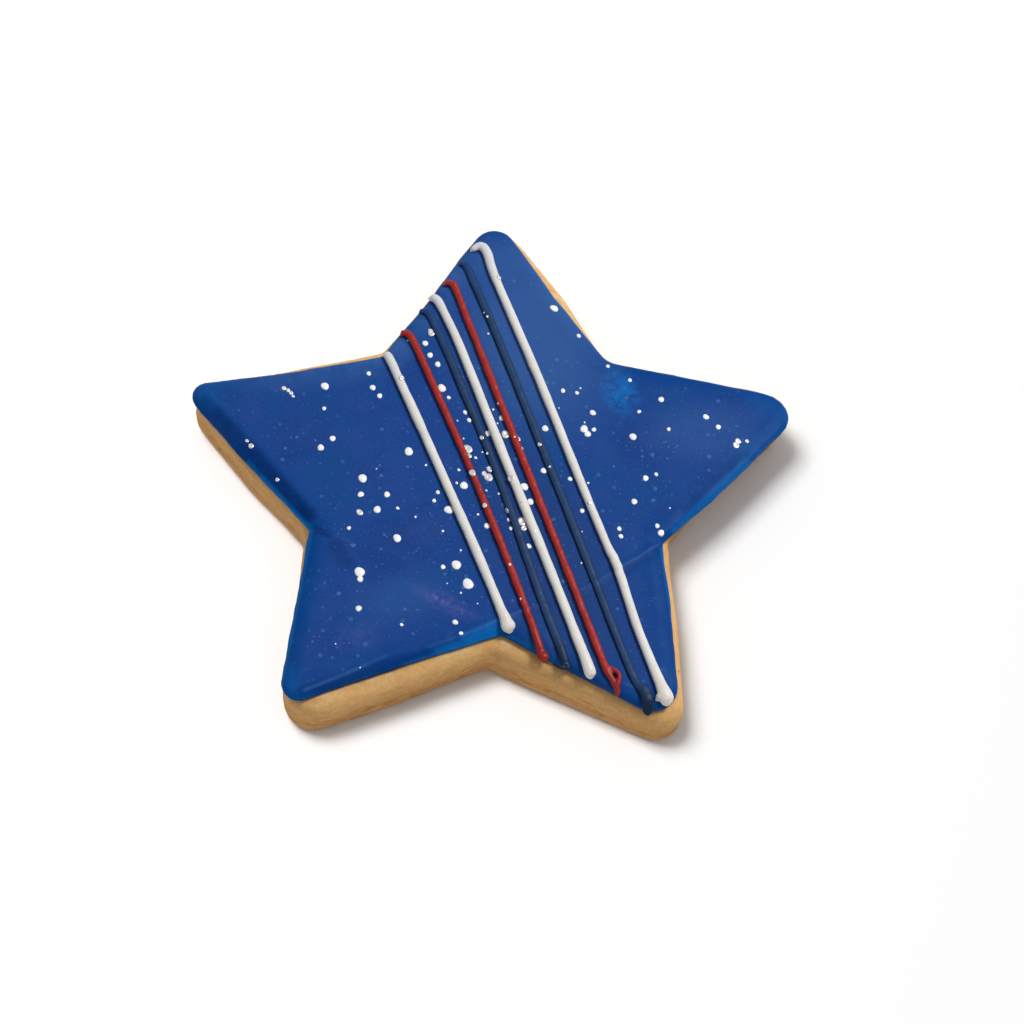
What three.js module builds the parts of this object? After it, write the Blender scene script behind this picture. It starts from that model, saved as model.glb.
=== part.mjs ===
// Iced sugar cookie: a five-pointed biscuit, one sheet of icing on its top, and seven piped lines
// of royal icing laid slantwise across the icing. Millimetres, +Z up. The cookie lies flat; the
// origin is on its underside, below the middle of its outline, and one tip points along +Y.
import * as THREE from "three";

// Driving dimensions.
const TIP_RADIUS = 46; // star centre to a tip, before the corner is rounded
const NOTCH_RADIUS = 25.5; // star centre to an inner corner
const STAR_CENTRE = [-0.2, -3.55]; // star centre, seen from the middle of the outline's box

const BISCUIT_HEIGHT = 6.4; // quarter-inch dough
const BASE_ROUND = 1.2; // bottom edge
const CROWN_ROUND = 1.8; // top edge
const SIDE_BULGE = 0.2; // swell of the side while it baked

const ICING_THICKNESS = 1.5;
const ICING_LIP = 0.3; // rounding under the icing's edge
const ICING_ROUND = 0.9; // rounding over the icing's edge
const ICING_TOP = BISCUIT_HEIGHT + ICING_THICKNESS;

const STRAND_GAP = 0.35; // clearance of a piped line where it leaves the flat top
const EDGE_FALL = 3; // how steeply a piped line hangs over the edge
const LINE_STEP = 2.8; // length of one straight piece of a piped line
const END_STEPS = [0, 0.25, 0.6, 1.1, 1.7, 2.4, 3.2]; // finer steps towards both ends of a line
const BLOB_PLACE = 1; // how far the middle of a blob lies from the line's end
const BLOB_REACH = 1.2; // how far a blob spreads along the line
const END_ROUNDING = 0.85; // 1 would bring a line to a point at its ends, 0 would cut it square

// The star's corners, anticlockwise from the top tip. Each says how far the corner lies outward
// and sideways of its place on the regular star, its rounding, and the bow of the side after it.
const ICING_CORNERS = [
  { outward: -0.1, sideways: -0.4, round: 3.1, bow: -0.1 }, // top tip
  { outward: -0.25, sideways: 0.95, round: 1.1, bow: -0.3 }, // upper left notch
  { outward: -0.3, sideways: 1.3, round: 2.3, bow: 0.25 }, // left tip
  { outward: 1.1, sideways: 0.9, round: 0.5, bow: 0.1 }, // left notch
  { outward: 0.5, sideways: -1.6, round: 2.3, bow: -0.2 }, // lower left tip
  { outward: -1.5, sideways: 1.3, round: 1.1, bow: 0.15 }, // bottom notch
  { outward: -1, sideways: -1.4, round: 3.6, bow: 0.2 }, // lower right tip
  { outward: -0.4, sideways: -0.75, round: 1, bow: 0.35 }, // right notch
  { outward: 3, sideways: 0.9, round: 4, bow: -0.1 }, // right tip
  { outward: 1.2, sideways: -0.9, round: 2.9, bow: -0.35 }, // upper right notch
];
const BISCUIT_CORNERS = [
  { outward: 1, sideways: -1.4, round: 3.9, bow: -0.3 }, // top tip
  { outward: 1.2, sideways: -0.25, round: 2.6, bow: 0.1 }, // upper left notch
  { outward: -0.4, sideways: 0.8, round: 3.1, bow: 0.5 }, // left tip
  { outward: 1.2, sideways: 0.3, round: 4, bow: -0.15 }, // left notch
  { outward: 2.1, sideways: 0.2, round: 3.9, bow: 0.2 }, // lower left tip
  { outward: 0.8, sideways: -0.2, round: 2.2, bow: 0 }, // bottom notch
  { outward: -0.1, sideways: -0.9, round: 3.4, bow: 0.2 }, // lower right tip
  { outward: -0.2, sideways: 1.7, round: 4, bow: -0.8 }, // right notch
  { outward: 2.8, sideways: 2.6, round: 4.2, bow: 0 }, // right tip
  { outward: 2.3, sideways: -0.3, round: 2.6, bow: 0.7 }, // upper right notch
];

const ARC_STEPS = 6; // pieces in each rounded corner
const SIDE_STEPS = 4; // pieces in each side

// The icing colours, and how wide and high a line of each is piped.
const WHITE = { color: 0xe1deda, roughness: 0.5, width: 1.4, height: 1 };
const RED = { color: 0xb02424, roughness: 0.45, width: 1.2, height: 0.8 };
const NAVY = { color: 0x26426e, roughness: 0.35, width: 1.5, height: 0.6 };

// The piped lines from left to right, each from its upper end, seen from the star's centre.
// head and foot are the share by which the line is wider where it starts and where it ends.
const PIPED_LINES = [
  { name: "piped_white_1", look: WHITE, head: 0.1, foot: 0.6,
    route: [[-15.2, 19.6], [-14.1, 17.6], [-8.3, 3.3], [-2.5, -11.5], [2.2, -23.3]] },
  { name: "piped_red_1", look: RED, head: 0.1, foot: 0.2,
    route: [[-12.7, 23.5], [-11.5, 22.8], [-8.7, 15.6], [-3.1, 1.2], [3.1, -16.5], [6.7, -27]] },
  { name: "piped_navy_1", look: NAVY, head: 0, foot: 0.1,
    route: [[-10.3, 27.4], [-9.1, 26.7], [-4.4, 15], [0.2, 1.5], [5.7, -16.7], [9.7, -28.4]] },
  { name: "piped_white_2", look: WHITE, head: 0, foot: 0.3,
    route: [[-8.9, 29.9], [-8.1, 29.2], [-4.4, 20.8], [1.6, 3.4], [8.8, -17.3], [13.1, -29.8]] },
  { name: "piped_red_2", look: RED, head: 0.1, foot: -0.2,
    route: [[-6.9, 32.5], [-5.9, 31.9], [-2.5, 23], [6.4, -3.2], [13.4, -24], [16, -30.4],
      [16.6, -32.7]] },
  { name: "piped_navy_2", look: NAVY, head: 0, foot: -0.15,
    route: [[-4.6, 36.3], [-3.7, 35], [1.9, 20.2], [10.4, -4.9], [18.3, -28.6], [20.2, -32.6],
      [20.7, -35.2]] },
  { name: "piped_white_3", look: WHITE, head: 0.1, foot: 0.6,
    route: [[-2.8, 38.8], [-1.3, 38.4], [4.3, 22.8], [15, -8], [16.9, -12.8], [19.6, -22.8],
      [22.8, -32.6]] },
];

// One closed outline of the star, moved inward by `inset`. Corner arcs keep their centres, so
// every outline of the same corners has the same number of points in the same directions.
function starOutline(corners, inset) {
  const sharp = corners.map(({ outward, sideways }, index) => {
    const angle = Math.PI / 2 + (index * Math.PI) / 5;
    const radius = (index % 2 === 0 ? TIP_RADIUS : NOTCH_RADIUS) + outward;
    const corner = new THREE.Vector2(radius, sideways).rotateAround(new THREE.Vector2(), angle);
    return corner.add(new THREE.Vector2(...STAR_CENTRE));
  });
  const count = sharp.length;
  const arcs = sharp.map((corner, index) => {
    const toPrevious = sharp[(index + count - 1) % count].clone().sub(corner).normalize();
    const toNext = sharp[(index + 1) % count].clone().sub(corner).normalize();
    const half = Math.acos(toPrevious.dot(toNext)) / 2;
    const towards = toPrevious.clone().add(toNext).normalize();
    const { round } = corners[index];
    const centre = corner.clone().addScaledVector(towards, round / Math.sin(half));
    const radius = index % 2 === 0 ? round - inset : round + inset;
    const turn = (Math.PI - 2 * half) * (index % 2 === 0 ? 1 : -1);
    return Array.from({ length: ARC_STEPS + 1 }, (_, step) => {
      const swing = turn * (step / ARC_STEPS - 0.5);
      const away = towards.clone().negate().rotateAround(new THREE.Vector2(), swing);
      return centre.clone().addScaledVector(away, radius);
    });
  });
  return arcs.flatMap((arc, index) => {
    const from = arc[ARC_STEPS];
    const to = arcs[(index + 1) % count][0];
    const along = to.clone().sub(from).normalize();
    const outwards = new THREE.Vector2(along.y, -along.x);
    const side = Array.from({ length: SIDE_STEPS - 1 }, (_, step) => {
      const share = (step + 1) / SIDE_STEPS;
      const bow = corners[index].bow * Math.sin(Math.PI * share) ** 2;
      return from.clone().lerp(to, share).addScaledVector(outwards, bow);
    });
    return [...arc, ...side];
  });
}

// A closed skin over rings that all have the same number of points, with the given end caps.
function skin(rings, firstCap, lastCap) {
  const size = rings[0].length;
  const positions = rings.flat().flatMap((point) => [point.x, point.y, point.z]);
  const indices = [];
  for (let ring = 0; ring < rings.length - 1; ring += 1) {
    for (let step = 0; step < size; step += 1) {
      const here = ring * size + step;
      const beside = ring * size + ((step + 1) % size);
      indices.push(here, beside, beside + size, here, beside + size, here + size);
    }
  }
  const last = (rings.length - 1) * size;
  firstCap.forEach(([a, b, c]) => indices.push(c, b, a));
  lastCap.forEach(([a, b, c]) => indices.push(last + a, last + b, last + c));
  const geometry = new THREE.BufferGeometry();
  geometry.setAttribute("position", new THREE.Float32BufferAttribute(positions, 3));
  geometry.setIndex(indices);
  geometry.computeVertexNormals();
  return geometry;
}

// A star-shaped slab: its outline at each [inset, height] of the profile, from the bottom up.
function starSlab(corners, profile) {
  const outlines = profile.map(([inset]) => starOutline(corners, inset));
  const rings = outlines.map((outline, level) =>
    outline.map((point) => new THREE.Vector3(point.x, point.y, profile[level][1])));
  const bottomCap = THREE.ShapeUtils.triangulateShape(outlines[0], []);
  const topCap = THREE.ShapeUtils.triangulateShape(outlines.at(-1), []);
  return skin(rings, bottomCap, topCap);
}

// Quarter circle of [inset, height] steps: from flat to upright for a bottom edge, or upright
// to flat for a top edge. `level` is the height at the flat end.
function roundedEdge(round, level, isTop, steps) {
  return Array.from({ length: steps + 1 }, (_, step) => {
    const swing = (Math.PI / 2) * (isTop ? step / steps : 1 - step / steps);
    const rise = round * (1 - Math.sin(swing));
    return [round * (1 - Math.cos(swing)), isTop ? level - rise : level + rise];
  });
}

function biscuitGeometry() {
  const sideMiddle = (BASE_ROUND + BISCUIT_HEIGHT - CROWN_ROUND) / 2;
  return starSlab(BISCUIT_CORNERS, [
    ...roundedEdge(BASE_ROUND, 0, false, 3),
    [-SIDE_BULGE, sideMiddle],
    ...roundedEdge(CROWN_ROUND, BISCUIT_HEIGHT, true, 4),
  ]);
}

function icingGeometry() {
  return starSlab(ICING_CORNERS, [
    ...roundedEdge(ICING_LIP, BISCUIT_HEIGHT, false, 2),
    ...roundedEdge(ICING_ROUND, ICING_TOP, true, 4),
  ]);
}

// Distance of a point inside the icing's outline; negative outside it.
const icingOutline = starOutline(ICING_CORNERS, 0);
function distanceInside(point) {
  let nearest = Infinity;
  let inside = false;
  icingOutline.forEach((start, index) => {
    const end = icingOutline[(index + 1) % icingOutline.length];
    const side = end.clone().sub(start);
    const share = THREE.MathUtils.clamp(point.clone().sub(start).dot(side) / side.lengthSq(), 0, 1);
    nearest = Math.min(nearest, point.distanceTo(start.clone().addScaledVector(side, share)));
    const crosses = start.y > point.y !== end.y > point.y;
    if (crosses && point.x < start.x + (side.x * (point.y - start.y)) / side.y) inside = !inside;
  });
  return inside ? nearest : -nearest;
}

// Height at which something can lie over the icing's edge: on the rounding, and beyond the
// icing steeply down to just above the biscuit.
function heightAt(distance) {
  const overEdge = ICING_TOP - ICING_ROUND + STRAND_GAP;
  if (distance < 0) return Math.max(BISCUIT_HEIGHT + STRAND_GAP, overEdge + EDGE_FALL * distance);
  const reach = Math.min(distance, ICING_ROUND);
  return overEdge + Math.sqrt(ICING_ROUND ** 2 - (ICING_ROUND - reach) ** 2);
}

// Height of a piped line's underside: on the flat top, or clear of the icing where any of its
// width, from `halfWidth` left to `halfWidth` right of its middle, is over the rounded edge.
function restHeight(middle, left, halfWidth) {
  const distances = [-1, -0.5, 0, 0.5, 1].map((share) =>
    distanceInside(new THREE.Vector2(middle.x, middle.y).addScaledVector(left, share * halfWidth)));
  if (Math.min(...distances) >= ICING_ROUND) return ICING_TOP;
  return Math.max(...distances.map(heightAt));
}

// Section of a piped line, [sideways, up] in shares of its width and height: flat underneath
// and rounded above, listed anticlockwise as seen against the line's direction.
const SECTION = [[-0.4, 0], [0.4, 0], [0.5, 0.35], [0.33, 0.82], [0, 1], [-0.33, 0.82], [-0.5, 0.35]];

// Share by which a blob of that size widens its line, at that distance from the line's end.
function blob(size, fromEnd) {
  return size * Math.exp(-(((fromEnd - BLOB_PLACE) / BLOB_REACH) ** 2));
}

function pipedLineGeometry({ look, head, foot, route }) {
  const route3 = route.map(([x, y]) => new THREE.Vector3(x + STAR_CENTRE[0], y + STAR_CENTRE[1], 0));
  const curve = new THREE.CatmullRomCurve3(route3, false, "centripetal");
  const length = curve.getLength();
  const endRun = END_STEPS.at(-1);
  const middleSteps = Math.round((length - 2 * endRun) / LINE_STEP);
  const middle = Array.from({ length: middleSteps - 1 }, (_, step) =>
    endRun + ((step + 1) * (length - 2 * endRun)) / middleSteps);
  const stations = [...END_STEPS, ...middle, ...END_STEPS.map((step) => length - step).reverse()];
  const centres = stations.map((station) => {
    const place = curve.getPointAt(station / length);
    const along = curve.getTangentAt(station / length);
    place.z = restHeight(place, new THREE.Vector2(-along.y, along.x), look.width / 2);
    return place;
  });
  const rings = centres.map((centre, index) => {
    const before = centres[Math.max(index - 1, 0)];
    const after = centres[Math.min(index + 1, centres.length - 1)];
    const forward = after.clone().sub(before).normalize();
    const left = new THREE.Vector3(-forward.y, forward.x, 0).normalize();
    const up = forward.clone().cross(left);
    const fromStart = stations[index];
    const fromEnd = length - fromStart;
    const swell = 1 + blob(head, fromStart) + blob(foot, fromEnd);
    const tip = Math.min(Math.min(fromStart, fromEnd) / (look.width / 2), 1);
    const taper = Math.sqrt(1 - END_ROUNDING * (1 - tip) ** 2);
    return SECTION.map(([sideways, rise]) => centre.clone()
      .addScaledVector(left, sideways * look.width * swell * taper)
      .addScaledVector(up, rise * look.height * taper * (1 + (swell - 1) / 2)));
  });
  const cap = SECTION.slice(2).map((_, step) => [0, step + 1, step + 2]);
  return skin(rings, cap, cap);
}

function icedPiece(name, geometry, { color, roughness }) {
  const material = new THREE.MeshStandardMaterial({ color, roughness, metalness: 0 });
  const mesh = new THREE.Mesh(geometry, material);
  mesh.name = name;
  return mesh;
}

const cookie = new THREE.Group();
cookie.add(icedPiece("biscuit", biscuitGeometry(), { color: 0xc69a60, roughness: 0.85 }));
cookie.add(icedPiece("icing", icingGeometry(), { color: 0x24489a, roughness: 0.45 }));
PIPED_LINES.forEach((line) => cookie.add(icedPiece(line.name, pipedLineGeometry(line), line.look)));

export default cookie;
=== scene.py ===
import math
import random
from itertools import product

import bmesh
import bpy
import numpy as np
from mathutils import Matrix, Vector
from mathutils.bvhtree import BVHTree


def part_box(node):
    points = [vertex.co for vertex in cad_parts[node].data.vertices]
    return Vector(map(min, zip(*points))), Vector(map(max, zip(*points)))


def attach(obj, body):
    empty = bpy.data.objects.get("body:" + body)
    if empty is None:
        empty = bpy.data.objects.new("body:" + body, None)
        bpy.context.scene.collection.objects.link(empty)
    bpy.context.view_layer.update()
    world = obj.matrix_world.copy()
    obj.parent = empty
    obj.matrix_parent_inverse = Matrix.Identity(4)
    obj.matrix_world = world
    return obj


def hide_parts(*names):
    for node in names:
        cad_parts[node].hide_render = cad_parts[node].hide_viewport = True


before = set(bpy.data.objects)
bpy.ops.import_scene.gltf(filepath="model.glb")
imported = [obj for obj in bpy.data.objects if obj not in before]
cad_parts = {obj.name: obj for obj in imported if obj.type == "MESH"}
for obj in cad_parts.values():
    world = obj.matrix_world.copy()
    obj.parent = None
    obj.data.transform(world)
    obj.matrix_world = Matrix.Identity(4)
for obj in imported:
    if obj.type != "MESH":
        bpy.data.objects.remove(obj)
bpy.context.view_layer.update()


# ---------------------------------------------------------------------------- The baked star
# Quarter-inch sugar dough, stamped out with a five-pointed cutter and baked until its edge has
# set. The side is upright where the cutter passed, swollen and creased by the oven, with a fine
# crumb and a few brown flecks, and it is browner towards the tray.

MM = 0.001
BISCUIT_NET = 0.34 * MM  # size of the faces that the crumb is shaped on
BISCUIT_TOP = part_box("biscuit")[1].z
LATTICE = 64  # steps before the random ripples repeat
CREASE_SHARE = 0.42  # height of the crease along the side, as a share of the biscuit's height


def solid_copy(node):
    """A node's solid, with its loose triangles joined along their edges."""
    solid = bmesh.new()
    solid.from_mesh(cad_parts[node].data)
    bmesh.ops.remove_doubles(solid, verts=solid.verts, dist=0.002 * MM)
    return solid


def shown_piece(name, solid, material):
    """Makes a bmesh a smooth-shaded object of the cookie."""
    mesh = bpy.data.meshes.new(name)
    solid.to_mesh(mesh)
    solid.free()
    mesh.shade_smooth()
    mesh.materials.append(material)
    piece = bpy.data.objects.new(name, mesh)
    bpy.context.scene.collection.objects.link(piece)
    return piece


def even_net(piece, size, smoothing):
    """Remakes a piece as an even net of small faces, with its sharp edges eased."""
    net = piece.modifiers.new("even net", "REMESH")
    net.mode = "VOXEL"
    net.voxel_size = size
    net.use_smooth_shade = True
    shaped = piece.evaluated_get(bpy.context.evaluated_depsgraph_get())
    mesh = bpy.data.meshes.new_from_object(shaped)
    piece.modifiers.clear()
    piece.data = mesh
    eased = bmesh.new()
    eased.from_mesh(mesh)
    for _ in range(smoothing):
        bmesh.ops.smooth_vert(eased, verts=eased.verts, factor=0.5,
                              use_axis_x=True, use_axis_y=True, use_axis_z=True)
    eased.to_mesh(mesh)
    eased.free()


def vertex_places(piece):
    """Places and normals of a piece's vertices, as two tables of x, y, z."""
    count = len(piece.data.vertices)
    places, normals = np.empty(count * 3), np.empty(count * 3)
    piece.data.vertices.foreach_get("co", places)
    piece.data.vertices.foreach_get("normal", normals)
    return places.reshape(-1, 3), normals.reshape(-1, 3)


def set_places(piece, places):
    """Moves a piece's vertices to these places."""
    piece.data.vertices.foreach_set("co", places.astype(np.float32).ravel())
    piece.data.update()


def ripple(places, size, seed):
    """Smooth random values from -1 to 1, changing over about that size."""
    lattice = np.random.default_rng(seed).uniform(-1, 1, (LATTICE, LATTICE, LATTICE))
    cell, share = np.divmod(places / size, 1)
    cell = cell.astype(int)
    share = share * share * (3 - 2 * share)
    total = np.zeros(len(places))
    for corner in product((0, 1), repeat=3):
        weight = np.prod(np.where(corner, share, 1 - share), axis=1)
        total += weight * lattice[tuple(((cell + corner) % LATTICE).T)]
    return total


def hump(values, middle, width):
    """1 at the middle, and falling smoothly to 0 on both sides of it."""
    return np.exp(-(((values - middle) / width) ** 2))


def ramp(values, low, high):
    """0 below low, 1 above high, and a smooth rise between them."""
    share = np.clip((values - low) / (high - low), 0, 1)
    return share * share * (3 - 2 * share)


def bake_side(piece):
    """Swells, creases and roughens the side, and leaves the top and the underside flat."""
    places, normals = vertex_places(piece)
    upright = np.hypot(normals[:, 0], normals[:, 1])
    outward = normals[:, :2] / np.maximum(upright, 1e-6)[:, None]
    height = places[:, 2]
    swell = 0.14 * MM * ripple(places, 13 * MM, 1) + 0.07 * MM * ripple(places, 4 * MM, 2)
    crease_height = CREASE_SHARE * BISCUIT_TOP + 0.45 * MM * ripple(places * (1, 1, 0), 10 * MM, 3)
    crease_depth = 0.16 * MM * np.clip(0.7 + 0.9 * ripple(places * (1, 1, 0), 7 * MM, 4), 0, 1.3)
    crease = crease_depth * hump(height, crease_height, 0.35 * MM)
    layers = 0.045 * MM * ripple(places * (1, 1, 5), 3 * MM, 5)
    crumb = 0.035 * MM * ripple(places, 0.9 * MM, 6) + 0.02 * MM * ripple(places, 0.5 * MM, 7)
    side = ramp(upright, 0.2, 0.9)
    places[:, :2] += outward * (side * (swell - crease + layers + crumb))[:, None]
    top = ramp(normals[:, 2], 0.2, 0.8)
    places[:, 2] = np.clip(height + top * crumb * 0.7, 0, BISCUIT_TOP)
    set_places(piece, places)


def new_material(name, roughness):
    """A material with its node tree, its shader and its object coordinates."""
    material = bpy.data.materials.new(name)
    material.use_nodes = True
    shader = material.node_tree.nodes["Principled BSDF"]
    shader.inputs["Roughness"].default_value = roughness
    coordinates = material.node_tree.nodes.new("ShaderNodeTexCoord").outputs["Object"]
    return material, shader, coordinates


def add_node(tree, kind, **inputs):
    """A node of that kind with the named inputs set, or linked where the value is a socket."""
    node = tree.nodes.new(kind)
    for name, value in inputs.items():
        socket = node.inputs[name.replace("_", " ")]
        if isinstance(value, bpy.types.NodeSocket):
            tree.links.new(value, socket)
        else:
            socket.default_value = value
    return node


def blotches(tree, coordinates, size, detail=3.0, roughness=0.55):
    """Soft noise of about that size, in metres, from 0 to 1."""
    return add_node(tree, "ShaderNodeTexNoise", Vector=coordinates, Scale=1 / size,
                    Detail=detail, Roughness=roughness).outputs["Fac"]


def stops(tree, value, colours):
    """A colour ramp through (position, colour) stops."""
    node = add_node(tree, "ShaderNodeValToRGB", Fac=value)
    elements = node.color_ramp.elements
    while len(elements) < len(colours):
        elements.new(0.5)
    for element, (position, colour) in zip(elements, colours):
        element.position = position
        element.color = (*colour, 1)
    return node.outputs["Color"]


def mix(tree, share, first, second):
    """Two colours or values mixed by a share, from the first at 0 to the second at 1."""
    node = tree.nodes.new("ShaderNodeMix")
    node.data_type = "RGBA"
    for socket, value in zip((node.inputs[0], node.inputs[6], node.inputs[7]), (share, first, second)):
        if isinstance(value, bpy.types.NodeSocket):
            tree.links.new(value, socket)
        else:
            socket.default_value = (*value, 1) if isinstance(value, tuple) else value
    return node.outputs[2]


def between(tree, value, low, high, to_low=0.0, to_high=1.0):
    """A value mapped from one range to another, and held at its ends."""
    node = tree.nodes.new("ShaderNodeMapRange")
    tree.links.new(value, node.inputs[0])
    for socket, number in zip(list(node.inputs)[1:5], (low, high, to_low, to_high)):
        socket.default_value = number
    return node.outputs[0]


def calculate(tree, operation, *values):
    """One step of arithmetic on numbers or sockets, such as their product."""
    node = tree.nodes.new("ShaderNodeMath")
    node.operation = operation
    for socket, value in zip(node.inputs, values):
        if isinstance(value, bpy.types.NodeSocket):
            tree.links.new(value, socket)
        else:
            socket.default_value = value
    return node.outputs[0]


# The crust from the tray to the top edge, as share of the height and colour.
CRUST = [
    (0.02, (0.43, 0.210, 0.068)),
    (0.16, (0.51, 0.265, 0.090)),
    (0.45, (0.51, 0.265, 0.085)),
    (0.60, (0.60, 0.338, 0.120)),
    (0.88, (0.65, 0.390, 0.155)),
    (1.0, (0.82, 0.61, 0.35)),
]
CRUMB_BROWN = (0.40, 0.190, 0.058)
BROWN_STREAK = (0.29, 0.128, 0.032)
PALE_STREAK = (0.72, 0.44, 0.17)
PALE_CRUST = (0.72, 0.47, 0.22)
FLECK_BROWN = (0.20, 0.08, 0.02)


def baked_dough():
    """Pale golden crust with a fine crumb, level streaks, pale spots and a few brown flecks."""
    material, shader, coordinates = new_material("baked sugar dough", 0.8)
    tree = material.node_tree
    height = add_node(tree, "ShaderNodeSeparateXYZ", Vector=coordinates).outputs["Z"]
    level = between(tree, height, 0, BISCUIT_TOP)
    patchy = between(tree, blotches(tree, coordinates, 7 * MM), 0.25, 0.75, 0.0, 0.22)
    crust = stops(tree, calculate(tree, "MULTIPLY_ADD", level, 0.78, patchy), CRUST)
    crumb = blotches(tree, coordinates, 0.5 * MM, 4, 0.65)
    crust = mix(tree, between(tree, crumb, 0.35, 0.62, 0.3, 0.0), crust, CRUMB_BROWN)
    layered = add_node(tree, "ShaderNodeMapping", Vector=coordinates, Scale=(1, 1, 3.2)).outputs["Vector"]
    streak = blotches(tree, layered, 1.6 * MM, 5, 0.7)
    low = between(tree, level, 0.35, 0.75, 0.75, 0.2)
    dark_streak = calculate(tree, "MULTIPLY", between(tree, streak, 0.5, 0.62), low)
    crust = mix(tree, dark_streak, crust, BROWN_STREAK)
    crust = mix(tree, between(tree, streak, 0.42, 0.30, 0.0, 0.4), crust, PALE_STREAK)
    pale = blotches(tree, coordinates, 1.9 * MM, 4, 0.7)
    crust = mix(tree, between(tree, pale, 0.56, 0.75, 0.0, 0.3), crust, PALE_CRUST)
    flecks = add_node(tree, "ShaderNodeTexVoronoi", Vector=coordinates, Scale=1 / (2.6 * MM))
    fleck_size = between(tree, flecks.outputs["Color"], 0.55, 1.0, 0.0, 0.16)
    fleck = calculate(tree, "LESS_THAN", flecks.outputs["Distance"], fleck_size)
    crust = mix(tree, calculate(tree, "MULTIPLY", fleck, 0.55), crust, FLECK_BROWN)
    tree.links.new(crust, shader.inputs["Base Color"])
    pores = add_node(tree, "ShaderNodeTexVoronoi", Vector=coordinates, Scale=1 / (0.8 * MM))
    relief = mix(tree, 0.45, crumb, between(tree, pores.outputs["Distance"], 0.0, 0.5))
    bump = add_node(tree, "ShaderNodeBump", Height=relief, Strength=0.5, Distance=0.12 * MM)
    tree.links.new(bump.outputs["Normal"], shader.inputs["Normal"])
    tree.links.new(between(tree, crumb, 0.3, 0.7, 0.72, 0.9), shader.inputs["Roughness"])
    shader.inputs["Specular IOR Level"].default_value = 0.25
    return material


biscuit = shown_piece("baked_star", solid_copy("biscuit"), baked_dough())
even_net(biscuit, BISCUIT_NET, 2)
bake_side(biscuit)
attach(biscuit, "root")
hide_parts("biscuit")


# ---------------------------------------------------------------------------- The blue icing
# One sheet of blue sugar icing, smoothed on while soft and trimmed at the biscuit's edge. Its
# edge slumped into a rounded shoulder, small folds run inward from the inner corners, and pearl
# dust was brushed over the middle, so the bare edge is a stronger blue. Its colour also holds
# painted light: a sheen on the far side and in pale clouds, highlights on the fold crests and on
# lit edges, and shade in the fold grooves and between the piped lines.

ICING_NET = 0.28 * MM
ICING_BASE, ICING_TOP = (corner.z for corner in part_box("icing"))
ICING_RIM = ICING_BASE + 0.45 * MM  # the level that distances from its edge are taken at
STAR_MIDDLE = Vector((-0.2, -3.55, 0)) * MM  # the star's centre, from the middle of its box

# Folds, as their points, in millimetres from the star's centre, and how much they rise.
FOLDS = [
    ([(23.2, -8.8), (20.3, -11.2), (17.2, -13.3)], 0.9),
    ([(17.2, -13.3), (14.2, -15.6), (12.0, -17.0)], 0.45),
    ([(-8.8, -26.9), (-4.4, -25.0)], 0.4),
    ([(-4.4, -25.0), (0.3, -22.6), (3.7, -20.9)], 0.8),
    ([(3.7, -20.9), (6.5, -19.7)], 0.4),
    ([(-24.8, -9.3), (-19.5, -11.2)], 0.3),
    ([(-25.0, -34.2), (-21.0, -32.2), (-17.6, -30.4)], 0.9),
    ([(-17.6, -30.4), (-14.6, -28.7)], 0.45),
    ([(17.5, -31.1), (19.2, -31.8)], 0.7),
]
PIT = (23.0, -9.2)  # where the icing is pinched at the right inner corner
# Stretches where the icing is thin and lets the pale biscuit through, which also paint a
# highlight along the lit edges: points, reach, strength.
THIN_AND_LIT_STRETCHES = [
    ([(-33.8, 1.1), (-31.5, -1.8)], 0.5, 0.5),
    ([(-32.0, -1.2), (-25.0, -9.1)], 0.65, 0.9),
    ([(-25.0, -9.1), (-28.3, -34.0)], 0.85, 0.75),
    ([(-11.5, -29.4), (-6.5, -27.2)], 0.7, 0.4),
    ([(-7.0, -27.4), (-2.5, -25.3)], 1.0, 0.7),
    ([(-3.2, -25.4), (1.4, -23.0)], 1.6, 0.8),
    ([(25.5, -6.6), (36.0, 5.0)], 1.1, 0.6),
    ([(2.0, -24.4), (9.0, -28.0)], 0.8, 0.4),
    ([(23.5, -9.5), (24.9, -22.0), (25.6, -33.0)], 0.6, 0.6),
    ([(36.0, 6.0), (40.8, 10.0), (41.5, 13.0), (38.0, 15.6)], 3.0, 0.15),
    ([(-39.5, 10.5), (-40.6, 12.0), (-38.0, 14.4)], 2.6, 0.2),
    ([(-28.3, -32.0), (-27.5, -36.5), (-24.0, -36.5)], 3.2, 0.35),
]
# Stretches where it lies thick in a fold, and is darker, with a painted shade in the fold's groove.
THICK_AND_SHADED_STRETCHES = [
    ([(-40.2, 10.4), (-36.0, 5.4), (-33.0, 2.0)], 1.6, 0.85),
    ([(-34.0, 3.1), (-29.2, -2.7), (-25.4, -7.2)], 1.8, 1.0),
    ([(-24.8, -9.3), (-22.3, -10.3)], 0.7, 1.0),
    ([(-21.5, -12.0), (-20.0, -14.5)], 2.0, 0.5),
    ([(-25.5, -34.9), (-16.0, -30.6), (-9.0, -28.2)], 1.5, 0.6),
    ([(22.5, -9.9), (17.0, -14.4)], 1.3, 0.4),
    ([(27.0, -3.3), (35.2, 5.9)], 1.3, 0.35),
]


def outline_at(node, height):
    """Cuts a node's solid level and returns the edges of the cut, as pairs of x, y points."""
    solid = solid_copy(node)
    cut = bmesh.ops.bisect_plane(solid, geom=solid.verts[:] + solid.edges[:] + solid.faces[:],
                                 plane_co=(0, 0, height), plane_no=(0, 0, 1))["geom_cut"]
    edges = [part for part in cut if isinstance(part, bmesh.types.BMEdge)]
    outline = np.array([[corner.co.xy for corner in edge.verts] for edge in edges])
    solid.free()
    return outline


def distance_from(edges, places):
    """Level distance from each place to the nearest of some edges."""
    nearest = np.full(len(places), np.inf)
    for start, end in edges:
        run = end - start
        share = np.clip(((places[:, :2] - start) @ run) / (run @ run), 0, 1)
        gap = np.linalg.norm(places[:, :2] - start - share[:, None] * run, axis=1)
        nearest = np.minimum(nearest, gap)
    return nearest


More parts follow.
